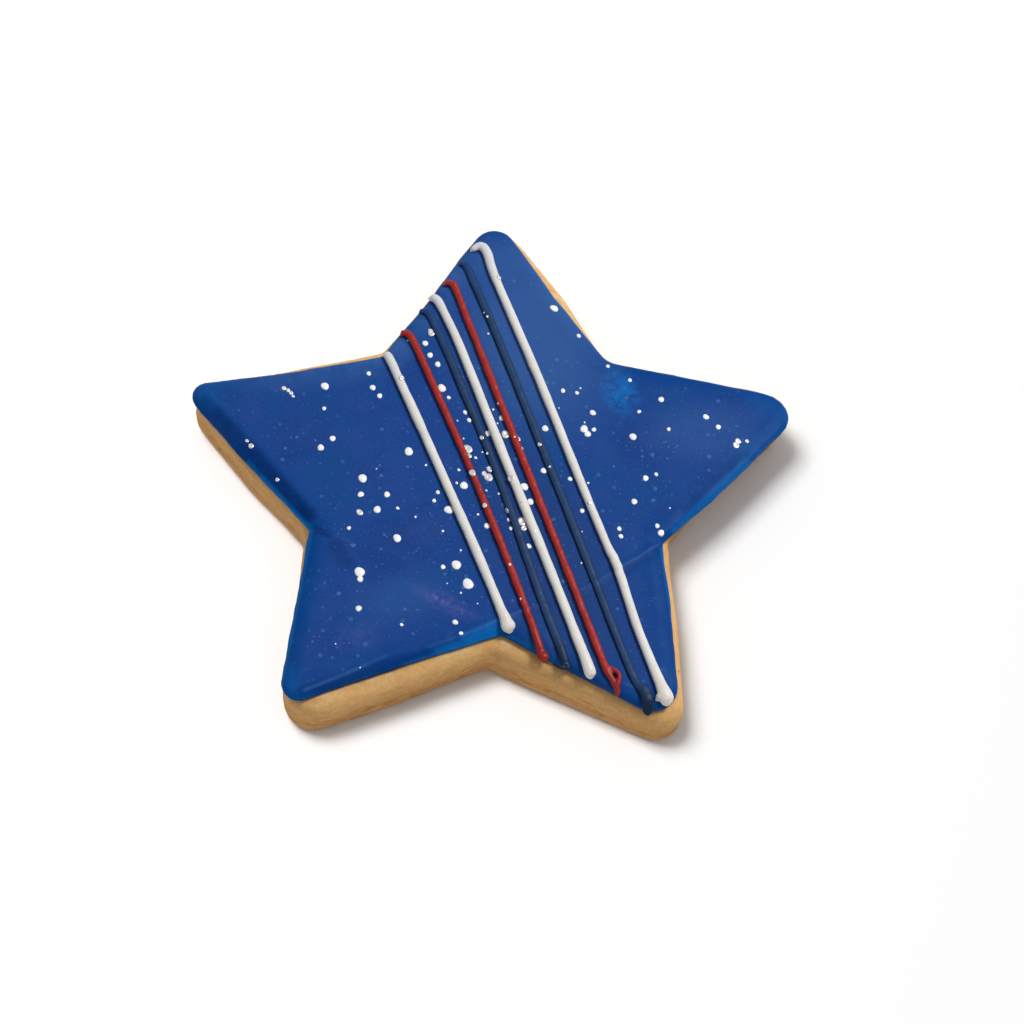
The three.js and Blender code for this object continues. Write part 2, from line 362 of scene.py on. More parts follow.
def on_star(x, y):
    """A place given in millimetres from the star's centre, in the frame's metres."""
    return Vector((x, y, 0)) * MM + STAR_MIDDLE


def edges_along(points):
    """The edges from each point to the next, given in millimetres from the star's centre."""
    corners = [on_star(*point).xy for point in points]
    return np.array(list(zip(corners, corners[1:])))


def mark(piece, name, values):
    """Stores a number for each vertex, for the materials to read."""
    marked = piece.data.attributes.new(name, "FLOAT", "POINT")
    marked.data.foreach_set("value", values.astype(np.float32))


def stretches(places, listed):
    """How strongly each place belongs to the listed stretches, from 0 to 1."""
    share = np.zeros(len(places))
    for points, reach, strength in listed:
        away = distance_from(edges_along(points), places) / (reach * MM)
        share = np.maximum(share, strength * (1 - ramp(away, 0.2, 1)))
    return share


def settle_icing(piece):
    """Slumps the icing's edge, raises its folds, and marks where it is thin, thick or bare."""
    places, normals = vertex_places(piece)
    edge = distance_from(outline_at("icing", ICING_RIM), places)
    level = places * (1, 1, 0)
    rise = ramp(places[:, 2], ICING_BASE + 0.5 * MM, ICING_TOP - 0.3 * MM)
    top = ramp(normals[:, 2], 0.0, 0.5) * rise
    thin, thick = stretches(level, THIN_AND_LIT_STRETCHES), stretches(level, THICK_AND_SHADED_STRETCHES)
    strength = np.clip(0.5 + 0.6 * ripple(level, 15 * MM, 11) + 0.7 * thick, 0.2, 1.3)
    slump = 0.26 * MM * strength * (1 - ramp(edge, 0.2 * MM, 2.2 * MM))
    shoulder = 0.05 * MM * strength * hump(edge, 2.3 * MM, 0.6 * MM)
    swells = 0.16 * MM * ripple(level, 15 * MM, 12) + 0.05 * MM * ripple(level, 5 * MM, 13)
    swells *= ramp(edge, 0.5 * MM, 5 * MM)
    folds, fold_highlight = np.zeros(len(places)), np.zeros(len(places))
    for points, height in FOLDS:
        away = distance_from(edges_along(points), places)
        ridge = 0.13 * MM * hump(away, 0, 0.32 * MM)
        gutter = 0.09 * MM * hump(away, 1.0 * MM, 0.6 * MM)
        folds += height * (ridge - gutter)
        fold_highlight = np.maximum(fold_highlight, height * hump(away, 0, 0.2 * MM))
    pit_place = np.array(on_star(*PIT).xy)
    pit = 0.5 * MM * hump(np.linalg.norm(level[:, :2] - pit_place, axis=1), 0, 0.5 * MM)
    places[:, 2] += top * (shoulder + swells + folds - slump - pit - 0.12 * MM * (thin + thick))
    side = ramp(np.hypot(normals[:, 0], normals[:, 1]), 0.5, 0.95)
    waver = 0.12 * MM * ripple(level, 5 * MM, 14) + 0.05 * MM * ripple(level, 1.7 * MM, 15)
    places[:, :2] += normals[:, :2] * (side * waver)[:, None]
    drooping = side * (1 - ramp(places[:, 2], ICING_BASE, ICING_BASE + 0.7 * MM))
    places[:, 2] -= drooping * (0.16 * MM + 0.08 * MM * ripple(level, 3 * MM, 16))
    set_places(piece, places)
    mark(piece, "from_edge", edge / MM)
    # The thin marks also carry a painted highlight on lit edges, the thick ones a painted shade in the
    # fold grooves, and the fold crests a painted highlight.
    mark(piece, "thin", thin)
    mark(piece, "thick", thick)
    mark(piece, "fold_highlight", fold_highlight)


def set_sugar():
    """Node group for any set icing: the fine relief of its skin, and its duller spots."""
    group = bpy.data.node_groups.new("set sugar skin", "ShaderNodeTree")
    group.interface.new_socket("Vector", in_out="INPUT", socket_type="NodeSocketVector")
    group.interface.new_socket("Pits", in_out="INPUT", socket_type="NodeSocketFloat")
    group.interface.new_socket("Height", in_out="OUTPUT", socket_type="NodeSocketFloat")
    group.interface.new_socket("Dullness", in_out="OUTPUT", socket_type="NodeSocketFloat")
    inlet = group.nodes.new("NodeGroupInput")
    outlet = group.nodes.new("NodeGroupOutput")
    place, density = inlet.outputs["Vector"], inlet.outputs["Pits"]
    fine = add_node(group, "ShaderNodeTexNoise", Vector=place, Scale=density, Detail=3.0, Roughness=0.6)
    pits = add_node(group, "ShaderNodeTexVoronoi", Vector=place, Scale=density)
    pit = between(group, pits.outputs["Distance"], 0.0, 0.22)
    group.links.new(mix(group, 0.3, fine.outputs["Fac"], pit), outlet.inputs["Height"])
    dull = blotches(group, place, 3 * MM, 4, 0.6)
    group.links.new(between(group, dull, 0.3, 0.7), outlet.inputs["Dullness"])
    return group


SUGAR_SKIN = set_sugar()


def sugar_finish(material, shader, coordinates, pit_size, strength, glossiest, dullest):
    """Gives an icing its skin: pitted relief, and a roughness that changes from place to place."""
    tree = material.node_tree
    skin = tree.nodes.new("ShaderNodeGroup")
    skin.node_tree = SUGAR_SKIN
    skin.inputs["Pits"].default_value = 1 / pit_size
    tree.links.new(coordinates, skin.inputs["Vector"])
    bump = add_node(tree, "ShaderNodeBump", Height=skin.outputs["Height"], Strength=strength,
                    Distance=0.05 * MM)
    tree.links.new(bump.outputs["Normal"], shader.inputs["Normal"])
    roughness = between(tree, skin.outputs["Dullness"], 0, 1, glossiest, dullest)
    tree.links.new(roughness, shader.inputs["Roughness"])


def patch(tree, coordinates, x, y, long, wide, turn, soft):
    """A soft-edged oval mask on the icing, placed in millimetres from the star's centre."""
    placed = tree.nodes.new("ShaderNodeMapping")
    placed.vector_type = "TEXTURE"
    placed.inputs["Location"].default_value = on_star(x, y)
    placed.inputs["Rotation"].default_value = (0, 0, math.radians(turn))
    placed.inputs["Scale"].default_value = (long * MM, wide * MM, 1)
    tree.links.new(coordinates, placed.inputs["Vector"])
    reach = add_node(tree, "ShaderNodeVectorMath", Vector=placed.outputs["Vector"])
    reach.operation = "LENGTH"
    return between(tree, reach.outputs["Value"], soft, 1.0, 1.0, 0.0)


def marked_number(tree, name):
    """The number that mark() stored on the vertices."""
    node = tree.nodes.new("ShaderNodeAttribute")
    node.attribute_name = name
    return node.outputs["Fac"]


def mist(tree, coordinates, spacing, share, largest):
    """A mask of tiny flat droplets: one place every spacing, but only that share of them filled."""
    dots = tree.nodes.new("ShaderNodeTexVoronoi")
    dots.voronoi_dimensions = "2D"
    dots.inputs["Scale"].default_value = 1 / spacing
    tree.links.new(coordinates, dots.inputs["Vector"])
    size = between(tree, dots.outputs["Color"], 1 - share, 1.0, 0.0, largest / spacing)
    inside = calculate(tree, "SUBTRACT", size, dots.outputs["Distance"])
    return between(tree, inside, 0.0, 0.05)


BARE_BLUE = (0.001, 0.048, 0.225)  # the edge, where no dust lies
DUSTED_BLUE = (0.010, 0.053, 0.240)  # the middle, under its film of pearl dust
DEEP_BLUE = (0.008, 0.043, 0.205)
TEAL_BLUE = (0.007, 0.060, 0.235)
# Painted sheen: the paler, greyer blue of the far edge and of the clouds listed below
SHEEN_BLUE = (0.034, 0.103, 0.310)
SHADED_BLUE = (0.014, 0.044, 0.165)  # between the piped lines
# Thin icing over the pale biscuit, also a painted highlight along the lit edges
THIN_AND_LIT_BLUE = (0.001, 0.145, 0.470)
# Thick icing in the folds, also a painted shade in their grooves
THICK_AND_SHADED_BLUE = (0.0005, 0.020, 0.120)
FOLD_HIGHLIGHT_BLUE = (0.060, 0.140, 0.420)  # painted highlight along the crests of the folds
VIOLET_DUST = (0.100, 0.105, 0.345)
MIST_BLUE = (0.080, 0.180, 0.430)
GRAIN_BLUE = (0.045, 0.100, 0.340)
# Where a painted sheen makes the icing paler, as (x, y, length, width, turn, strength).
SHEEN_CLOUDS = [
    (6.0, 24.0, 15, 20, 0, 0.75),
    (0.0, 37.5, 8, 5, 0, 0.4),
    (29.5, 9.5, 11, 6, 10, 0.4),
    (-12.5, -19.5, 8, 5, 20, 0.3),
]
# Where violet dust was brushed on, in the same way.
VIOLET_SMEARS = [
    (-6.6, -20.0, 6, 1.8, -28, 0.75),
    (-18.1, -25.8, 4.0, 3.0, 20, 0.38),
    (8.5, -25.5, 3, 1.4, -60, 0.5),
]


def blue_sugar():
    """Royal blue icing, uneven in depth, with pearl and violet dust, misty droplets and painted light."""
    material, shader, coordinates = new_material("blue icing", 0.5)
    tree = material.node_tree
    edge = marked_number(tree, "from_edge")
    ragged = blotches(tree, coordinates, 4 * MM, 3, 0.6)
    dusted = mix(tree, 0.35, between(tree, edge, 0.8, 5.0), ragged)
    # Painted sheen: the bare edge on the far side is paler and greyer.
    far_side_sheen = patch(tree, coordinates, -14.0, 25.0, 32, 16, 20, 0.5)
    bare = mix(tree, far_side_sheen, BARE_BLUE, SHEEN_BLUE)
    colour = mix(tree, between(tree, dusted, 0.15, 0.75), bare, DUSTED_BLUE)
    deep = between(tree, blotches(tree, coordinates, 10 * MM, 3, 0.6), 0.5, 0.68, 0.0, 0.7)
    colour = mix(tree, deep, colour, DEEP_BLUE)
    teal = between(tree, blotches(tree, coordinates, 6 * MM, 4, 0.6), 0.5, 0.36, 0.0, 0.8)
    colour = mix(tree, teal, colour, TEAL_BLUE)
    violet = between(tree, blotches(tree, coordinates, 7 * MM, 5, 0.65), 0.5, 0.7, 0.0, 0.08)
    violet = calculate(tree, "MULTIPLY", violet, between(tree, edge, 1.5, 4.0))
    colour = mix(tree, violet, colour, VIOLET_DUST)
    # Painted sheen in the listed clouds.
    for x, y, long, wide, turn, strength in SHEEN_CLOUDS:
        sheen = patch(tree, coordinates, x, y, long, wide, turn, 0.35)
        colour = mix(tree, calculate(tree, "MULTIPLY", sheen, strength), colour, SHEEN_BLUE)
    shade = patch(tree, coordinates, 8.5, -13.0, 26, 10, -68, 0.4)
    colour = mix(tree, calculate(tree, "MULTIPLY", shade, 0.6), colour, SHADED_BLUE)
    streaks = between(tree, blotches(tree, coordinates, 1.2 * MM, 4, 0.7), 0.3, 0.7, 0.55, 1.0)
    # Painted shade: the thick stretches darken along the fold grooves.
    thick = calculate(tree, "MULTIPLY", marked_number(tree, "thick"), streaks)
    colour = mix(tree, thick, colour, THICK_AND_SHADED_BLUE)
    # The thin stretches let the pale biscuit through and paint a highlight on the lit edges.
    thin = calculate(tree, "MULTIPLY", marked_number(tree, "thin"), streaks)
    colour = mix(tree, thin, colour, THIN_AND_LIT_BLUE)
    # Painted highlight along the crests of the folds.
    fold_highlight = calculate(tree, "MULTIPLY", marked_number(tree, "fold_highlight"), streaks)
    colour = mix(tree, calculate(tree, "MULTIPLY", fold_highlight, 0.6), colour, FOLD_HIGHLIGHT_BLUE)
    powder = between(tree, blotches(tree, coordinates, 0.8 * MM, 4, 0.7), 0.35, 0.65)
    for x, y, long, wide, turn, strength in VIOLET_SMEARS:
        smear = calculate(tree, "MULTIPLY", patch(tree, coordinates, x, y, long, wide, turn, 0.1), powder)
        colour = mix(tree, calculate(tree, "MULTIPLY", smear, strength), colour, VIOLET_DUST)
    blot = patch(tree, coordinates, 18.2, 15.6, 3.4, 4.6, 12, 0.3)
    crumbled = between(tree, blotches(tree, coordinates, 1.4 * MM, 6, 0.8), 0.42, 0.52, 0.0, 0.75)
    colour = mix(tree, calculate(tree, "MULTIPLY", blot, crumbled), colour, THIN_AND_LIT_BLUE)
    dusty = between(tree, dusted, 0.2, 0.7, 0.15, 1.0)
    clear_of_thick = between(tree, marked_number(tree, "thick"), 0.0, 0.8, 1.0, 0.1)
    dusty = calculate(tree, "MULTIPLY", dusty, clear_of_thick)
    drifts = between(tree, blotches(tree, coordinates, 5 * MM, 3, 0.6), 0.4, 0.6, 0.15, 0.6)
    drifts = calculate(tree, "MULTIPLY", drifts, dusty)
    for spacing, share, largest in ((0.8 * MM, 0.5, 0.2 * MM), (1.9 * MM, 0.6, 0.42 * MM)):
        droplets = mist(tree, coordinates, spacing, share, largest)
        colour = mix(tree, calculate(tree, "MULTIPLY", droplets, drifts), colour, MIST_BLUE)
    grain = between(tree, blotches(tree, coordinates, 0.3 * MM, 2, 0.6), 0.45, 0.75, 0.0, 0.22)
    colour = mix(tree, calculate(tree, "MULTIPLY", grain, dusty), colour, GRAIN_BLUE)
    tree.links.new(colour, shader.inputs["Base Color"])
    sugar_finish(material, shader, coordinates, 0.6 * MM, 0.2, 0.4, 0.55)
    shader.inputs["Specular IOR Level"].default_value = 0.04
    return material


icing = shown_piece("blue_icing", solid_copy("icing"), blue_sugar())
even_net(icing, ICING_NET, 3)
settle_icing(icing)
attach(icing, "root")
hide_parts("icing")


# ---------------------------------------------------------------------------- The piped lines
# Seven lines of stiffer icing, piped from the upper left edge down to the lower right one in one
# pull each. They settled into round-backed strands with a blob, a hook or a small loop where the
# nozzle was lifted, and two of them run down over the icing's edge.

STRAND_NET = 0.13 * MM
STRAND_STEP = 0.45 * MM
CURVE_STEPS = 24  # fine steps from one point of a route to the next
SINK = 0.10 * MM  # how deep a strand sits in the icing under it
BRIM = 0.06  # square of the share of its width that a strand's very end keeps
FIRST_STRAND_SEED = 20  # each strand takes two seeds, from this one up

icing_skin = BVHTree.FromObject(icing, bpy.context.evaluated_depsgraph_get())


def surface_height(place, skin):
    """Height of the first surface below a place, or None beyond the edge."""
    hit = skin.ray_cast(Vector((place.x, place.y, 1)), Vector((0, 0, -1)))[0]
    return hit.z if hit else None


def smooth_route(route, step):
    """Even steps along a smooth curve through the route's points, and the width share at each."""
    points = [Vector((*(on_star(x, y).xy / MM), lift, share)) for x, y, lift, share in route]
    ends = [points[0] * 2 - points[1], *points, points[-1] * 2 - points[-2]]
    fine = []
    for before, here, there, after in zip(ends, ends[1:], ends[2:], ends[3:]):
        for share in np.linspace(0, 1, CURVE_STEPS, endpoint=False):
            fine.append(0.5 * (2 * here + (there - before) * share
                               + (2 * before - 5 * here + 4 * there - after) * share ** 2
                               + (3 * here - before - 3 * there + after) * share ** 3))
    fine = np.array([*fine, points[-1]])
    walked = np.append(0, np.cumsum(np.linalg.norm(np.diff(fine[:, :2], axis=0), axis=1))) * MM
    marks = np.linspace(0, walked[-1], max(2, round(walked[-1] / step)) + 1)
    x, y, lift, share = (np.interp(marks, walked, fine[:, column]) for column in range(4))
    return marks, np.column_stack([x, y, lift]) * MM, share


def laid_on_icing(steps):
    """Lets the steps down onto the icing, keeping the last height where they pass its edge."""
    laid, resting = [], ICING_TOP
    for x, y, lift in steps:
        below = surface_height(Vector((x, y, 0)), icing_skin)
        resting = resting if below is None else below
        laid.append(Vector((x, y, resting + lift)))
    return laid


def pipe_along(solid, route, width, height):
    """Pulls a flattened round section along one route."""
    marks, steps, shares = smooth_route(route, STRAND_STEP)
    laid = laid_on_icing(steps)
    ring = bmesh.ops.create_circle(solid, cap_ends=True, segments=16, radius=0.5)["verts"]
    section = [corner.co.copy() for corner in ring]
    face = ring[0].link_faces[0]
    for step, centre in enumerate(laid):
        forward = (laid[min(step + 1, len(laid) - 1)] - laid[max(step - 1, 0)]).normalized()
        left = Vector((-forward.y, forward.x, 0)).normalized()
        up = forward.cross(left)
        to_end = min(marks[step], marks[-1] - marks[step]) / (0.5 * width * shares[step])
        rounding = math.sqrt(1 - (1 - BRIM) * max(1 - to_end, 0) ** 2)
        wide = width * shares[step] * rounding
        high = height * (0.55 + 0.45 * shares[step]) * rounding
        if step:
            face = bmesh.ops.extrude_discrete_faces(solid, faces=[face])["faces"][0]
        for corner, spot in zip(face.verts, section):
            corner.co = centre + left * (spot.x * wide) + up * ((spot.y + 0.5) * high - SINK)
    bmesh.ops.holes_fill(solid, edges=[edge for edge in solid.edges if edge.is_boundary])


def strand(name, look, routes, seed, node):
    """Pipes one line along its routes and lets it settle into one soft strand."""
    solid = bmesh.new()
    for route in routes:
        pipe_along(solid, route, look["width"], look["height"])
    bmesh.ops.recalc_face_normals(solid, faces=solid.faces)
    piece = shown_piece(name, solid, look["sugar"])
    even_net(piece, STRAND_NET, 3)
    places, normals = vertex_places(piece)
    waver = 0.045 * MM * ripple(places, 2.6 * MM, seed)
    bumps = look["bumps"] * ripple(places, 0.6 * MM, seed + 1)
    set_places(piece, places + normals * (waver + bumps)[:, None])
    # Painted shade: the flanks of a strand are darkened the more they tilt away from upward.
    mark(piece, "flank_shade", 1 - ramp(normals[:, 2], *look["crown"]))
    upper_end = on_star(*routes[0][0][:2]).y
    lower_end = on_star(*routes[0][-1][:2]).y
    mark(piece, "start", 1 - ramp(upper_end - places[:, 1], 1 * MM, 8 * MM))
    mark(piece, "finish", 1 - ramp(places[:, 1] - lower_end, 1.2 * MM, 5 * MM))
    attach(piece, "root")
    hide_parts(node)
    return piece


def strand_sugar(name, colour, uneven, flank_shade, start, finish, roughness, relief, shine):
    """A stiff icing: its colour, cloudy spots, thin start, thick end and painted shade on its flanks."""
    material, shader, coordinates = new_material(name, roughness)
    tree = material.node_tree
    cloudy = between(tree, blotches(tree, coordinates, 2.2 * MM, 4, 0.65), 0.42, 0.7)
    body = mix(tree, cloudy, colour, uneven)
    started = calculate(tree, "MULTIPLY", marked_number(tree, "start"), 0.7)
    body = mix(tree, started, body, start)
    # Painted shade on the flanks.
    body = mix(tree, marked_number(tree, "flank_shade"), body, flank_shade)
    gathered = calculate(tree, "MULTIPLY", marked_number(tree, "finish"), 0.85)
    body = mix(tree, gathered, body, finish)
    tree.links.new(body, shader.inputs["Base Color"])
    sugar_finish(material, shader, coordinates, 0.45 * MM, relief, roughness - 0.07, roughness + 0.08)
    shader.inputs["Specular IOR Level"].default_value = shine
    return material


# Each colour's size, how lumpy it is, and between which upward tilts the side of a strand turns
# into its crown; the sides below the crown take a painted shade.
WHITE = {
    "slot": "icing_white",
    "width": 1.3 * MM,
    "height": 1.0 * MM,
    "bumps": 0.015 * MM,
    "crown": (0.0, 0.6),
    "sugar": strand_sugar(
        "white icing", colour=(0.74, 0.72, 0.68), uneven=(0.66, 0.65, 0.63),
        flank_shade=(0.62, 0.63, 0.67), start=(0.63, 0.63, 0.66), finish=(0.72, 0.67, 0.62),
        roughness=0.45, relief=0.25, shine=0.4),
}
RED = {
    "slot": "icing_red",
    "width": 1.1 * MM,
    "height": 0.85 * MM,
    "bumps": 0.05 * MM,
    "crown": (0.1, 0.7),
    "sugar": strand_sugar(
        "red icing", colour=(0.355, 0.018, 0.012), uneven=(0.29, 0.013, 0.010),
        flank_shade=(0.15, 0.006, 0.008), start=(0.33, 0.016, 0.014), finish=(0.27, 0.010, 0.009),
        roughness=0.42, relief=0.8, shine=0.3),
}
NAVY = {
    "slot": "icing_navy",
    "width": 1.25 * MM,
    "height": 0.58 * MM,
    "bumps": 0.02 * MM,
    "crown": (0.3, 0.9),
    "sugar": strand_sugar(
        "navy icing", colour=(0.017, 0.048, 0.125), uneven=(0.011, 0.037, 0.105),
        flank_shade=(0.001, 0.007, 0.032), start=(0.008, 0.050, 0.185), finish=(0.004, 0.016, 0.046),
        roughness=0.4, relief=0.3, shine=0.15),
}

# Each line's routes from its upper end. A route's points are x and y in millimetres from the
# star's centre, the lift above the icing, and the width as a share of the colour's own width.
LINES = [
    ("piped_white_1", WHITE, [[
        (-15.3, 19.9, 0, 0.9), (-14.1, 17.6, 0, 1.05), (-8.3, 3.3, 0, 1), (-2.5, -11.5, 0, 1.05),
        (1.0, -20.8, 0, 1.05), (2.0, -23.2, 0, 1.6), (2.4, -24.1, 0, 1.4)]]),
    ("piped_red_1", RED, [[
        (-13.2, 23.4, 0, 0.9), (-12.0, 23.3, 0, 1), (-10.9, 21.2, 0, 1), (-8.7, 15.6, 0, 1),
        (-3.1, 1.2, 0, 0.95), (3.1, -16.5, 0, 1), (6.2, -26.0, 0, 1), (6.8, -27.6, 0, 1.5),
        (7.0, -28.3, 0, 1.2)]]),
    ("piped_navy_1", NAVY, [[
        (-10.6, 27.6, 0, 0.7), (-9.3, 27.3, 0, 0.9), (-7.9, 24.3, 0, 1), (-4.4, 15, 0, 1),
        (0.4, 1.5, 0, 0.95), (5.9, -16.7, 0, 1.05), (9.7, -28.2, 0, 1.1), (9.9, -29.1, 0, 1)],
        [(10.1, -29.2, 0, 0.8), (9.0, -29.1, 0, 0.6), (7.8, -28.5, 0, 0.4)]]),
    ("piped_white_2", WHITE, [[
        (-9.3, 29.9, 0, 0.9), (-8.2, 29.7, 0, 1.05), (-6.9, 27.1, 0, 1), (-4.4, 20.8, 0, 1),
        (1.6, 3.4, 0, 1.05), (8.8, -17.3, 0, 1.05), (12.2, -27.4, 0, 1.15), (13.2, -30.4, 0, 1.35)]]),
    ("piped_red_2", RED, [[
        (-7.2, 32.5, 0, 0.8), (-5.8, 32.4, 0, 1), (-4.9, 30.2, 0, 1), (-2.5, 23, 0, 1),
        (6.4, -3.2, 0, 1), (13.4, -24, 0, 1), (15.1, -29.0, 0, 1.05), (15.9, -30.6, 0, 0.8),
        (16.6, -31.9, 0, 0.8), (16.7, -33.0, -0.2, 0.7)],
        [(15.0, -28.8, 0.1, 0.6), (16.1, -29.3, 0.2, 0.6), (16.9, -30.2, 0.2, 0.6),
         (16.6, -31.9, 0.1, 0.7)]]),
    ("piped_navy_2", NAVY, [[
        (-5.0, 36.3, 0, 0.8), (-3.9, 36.0, 0, 0.9), (-2.6, 32.7, 0, 1), (1.9, 20.2, 0, 1),
        (10.4, -4.9, 0, 1), (18.3, -28.6, 0, 1), (20.2, -32.0, 0, 1.4), (20.7, -33.8, 0, 1.4),
        (20.8, -35.3, -0.5, 1.0)]]),
    ("piped_white_3", WHITE, [[
        (-3.3, 38.5, 0, 0.5), (-1.8, 39.4, 0, 1.05), (-0.8, 38.1, 0, 1.1), (0.5, 33.5, 0, 1),
        (6.3, 17.5, 0, 1), (15.0, -8.0, 0, 0.95), (16.9, -12.8, 0, 1), (19.6, -22.8, 0, 1),
        (22.2, -30.6, 0, 1.15), (23.0, -32.8, 0, 1.6), (23.5, -34.0, 0, 1.3)],
        [(22.9, -32.6, 0, 0.9), (21.7, -33.5, 0, 0.8)]]),
]

strands = []
for number, (node, look, routes) in enumerate(LINES):
    name = "strand_" + node.removeprefix("piped_")
    strands.append(strand(name, look, routes, FIRST_STRAND_SEED + 2 * number, node))


# ---------------------------------------------------------------------------- The flicked specks
# White and silvery icing paint, flicked over the finished cookie with a brush. Each drop dried as
# a small dome, the silvery ones with a sunken middle, on the icing and on the lines alike.

random.seed(7)
FLICK = math.radians(100)  # the way the brush moved, which drew the drops out a little
OUT_OF_ROUND = 0.05  # how much a drop's outline wavers, as a share of its radius
DIMPLE_REACH = 0.45  # how far the sunken middle reaches, as a share of its radius

# The larger drops: x, y and diameter in millimetres from the star's centre.
WHITE_DROPS = [
    (8.9, 29.4, 1.2), (12.4, 24.9, 0.7), (16.5, 19.9, 0.6), (19.6, 17.7, 0.6), (24, 14.7, 0.9),
    (20.8, 12.5, 0.6), (10, 15.3, 0.7), (12, 15.1, 0.6), (14.2, 11.9, 0.9), (12.9, 9.1, 1.2),
    (13.4, 8.3, 1.0), (14.3, 9.1, 0.7), (19.8, 8.2, 1.1), (24.9, 9.7, 0.6), (30.3, 12.1, 0.9),
    (32, 10.5, 0.8), (22.9, 2.1, 0.6), (21.4, 1.4, 0.9), (19.7, -2.5, 0.9), (17.5, -7, 0.7),
    (17.7, -8.2, 0.7), (22.8, -6.3, 0.7), (7.4, 8.8, 1), (7.1, 1.8, 0.9), (10.8, 0.7, 0.7),
    (12.4, -4.4, 0.7), (-23.6, 13.9, 1.2), (-23.6, 10.2, 0.6), (-17.5, 16.4, 0.7), (-16.9, 14.1, 0.9),
    (-15.9, 12.8, 0.8), (-23.9, 3.7, 1), (-22.3, 5.3, 0.9), (-11.7, 3.8, 1.3), (-18, -1, 1.3),
    (-18.2, -3.6, 0.9), (-14.6, -3.4, 0.9), (-15.9, -5.9, 1.1), (-13.1, -5.5, 0.5), (-19.7, -9.1, 0.6),
    (-13.1, -10.3, 1.2), (-18.1, -15.9, 1.5), (-18, -17.0, 0.9), (-18.1, -21.5, 0.9),
    (-12.3, -23.7, 0.5), (-5.1, -23, 0.8), (-4.3, -24.6, 0.6), (-5, -14.1, 1.4), (-6.8, -14.5, 0.7),
    (-3.4, -17, 1.6), (-8.1, -4, 0.6), (-7.6, -2.6, 0.6), (-6.1, -5.4, 1.3), (-4, -1.3, 1.2),
    (-9.6, 22.1, 0.9), (-8.9, 20.1, 0.9), (-7.8, 18.6, 0.9), (-7.2, 14.6, 1.3), (-6.2, 13.1, 0.6),
    (-3.9, 10.8, 0.6), (-3.3, 9.5, 0.7), (1.3, 10.1, 0.9), (-0.7, 7.4, 0.9), (4.4, -1, 1.2),
    (5.2, -3.4, 1), (-0.8, -7.7, 0.9), (2.5, -7.9, 0.6), (4.9, -10.6, 0.8), (3.9, -26.8, 0.6),
]
SILVER_DROPS = [
    (-8.7, 24, 1.2), (-29.3, 13.2, 0.7), (-28.7, 12.9, 0.6), (-28.3, 12.5, 0.6), (-28, 12, 0.5),
    (-18.3, -6.5, 1), (23.3, -7.3, 1), (34.4, 7.6, 1), (34.7, 8.3, 0.9), (36, 8.4, 0.6),
    (-3.5, 4.7, 1.4), (-3.3, 3.6, 0.8), (-0.6, 0.2, 1.3), (-0.4, 1.6, 1), (-1.2, 0.8, 0.8),
    (1.8, 7.4, 1.3), (4, -6.7, 1.4), (4.3, -7.7, 1), (1.9, -5.3, 0.8), (-2.9, 0.4, 1), (2.4, -0.2, 1),
    (-33.5, 3.4, 0.8), (-34.1, 4.2, 0.5), (-29.7, -1.8, 0.6), (0.9, 33.7, 0.8), (-12.9, 15.5, 0.9),
    (13.4, -3.4, 0.7), (-1.2, -4.8, 0.7), (2.2, -6.5, 0.6),
]

cookie_skin = bmesh.new()
for piece in (icing, *strands):
    cookie_skin.from_mesh(piece.data)
cookie_top = BVHTree.FromBMesh(cookie_skin)
cookie_skin.free()
icing_outline = outline_at("icing", ICING_RIM)


def on_icing(place, margin):
    """Whether a place is on the icing and at least that far from its edge."""
    if surface_height(place, icing_skin) is None:
        return False
    return distance_from(icing_outline, np.array([place]))[0] > margin


def scattered(count, spread, smallest, largest):
    """Small drops at random, most of them near the brush's path across the middle."""
    drops = []
    while len(drops) < count:
        along = random.uniform(-1, 1) * spread
        aside = random.gauss(0, 8 * spread)
        place = on_star(aside + 8 * along, aside - 22 * along)
        if on_icing(place, 1 * MM):
            drops.append((place, random.uniform(smallest, largest) * MM))
    return drops


def lay_drop(solid, place, size, dimple):
    """One dried drop: a low dome, a little out of round, seated on what is below it."""
    hit, normal = cookie_top.ray_cast(Vector((place.x, place.y, 1)), Vector((0, 0, -1)))[:2]
    if hit is None:
        return
    ball = bmesh.ops.create_uvsphere(solid, u_segments=12, v_segments=8, radius=size / 2)["verts"]
    stretch = random.uniform(1.04, 1.12)
    turn = FLICK + random.gauss(0, 0.4)
    flat = random.uniform(0.24, 0.32)
    facing = Vector((0, 0, 1)).rotation_difference(normal).to_matrix()
    for corner in ball:
        x, y, z = corner.co
        reach = math.hypot(x, y) / (size / 2)
        z *= flat * (1 - dimple * math.exp(-((reach / DIMPLE_REACH) ** 2))) if z > 0 else 0.2
        wobble = 1 + OUT_OF_ROUND * math.sin(3 * math.atan2(y, x) + 20 * turn)
        x, y = x * stretch * wobble, y / stretch * wobble
        corner.co = hit + facing @ (Matrix.Rotation(turn, 3, "Z") @ Vector((x, y, z)))


def drops_piece(name, drops, dimple, material):
    """Joins the drops of one kind of paint into one piece."""
    solid = bmesh.new()
    for place, size in drops:
        lay_drop(solid, place, size, dimple)
    piece = shown_piece(name, solid, material)
    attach(piece, "root")


def paint(name, colour, roughness, metallic):
    """Dried icing paint, a little uneven in thickness and shine."""
    material, shader, coordinates = new_material(name, roughness)
    tree = material.node_tree
    uneven = between(tree, blotches(tree, coordinates, 0.5 * MM, 3, 0.6), 0.4, 0.7)
    shaded = tuple(0.8 * channel for channel in colour)
    tree.links.new(mix(tree, uneven, colour, shaded), shader.inputs["Base Color"])
    shader.inputs["Metallic"].default_value = metallic
    sugar_finish(material, shader, coordinates, 0.3 * MM, 0.3, roughness - 0.08, roughness + 0.08)
    return material


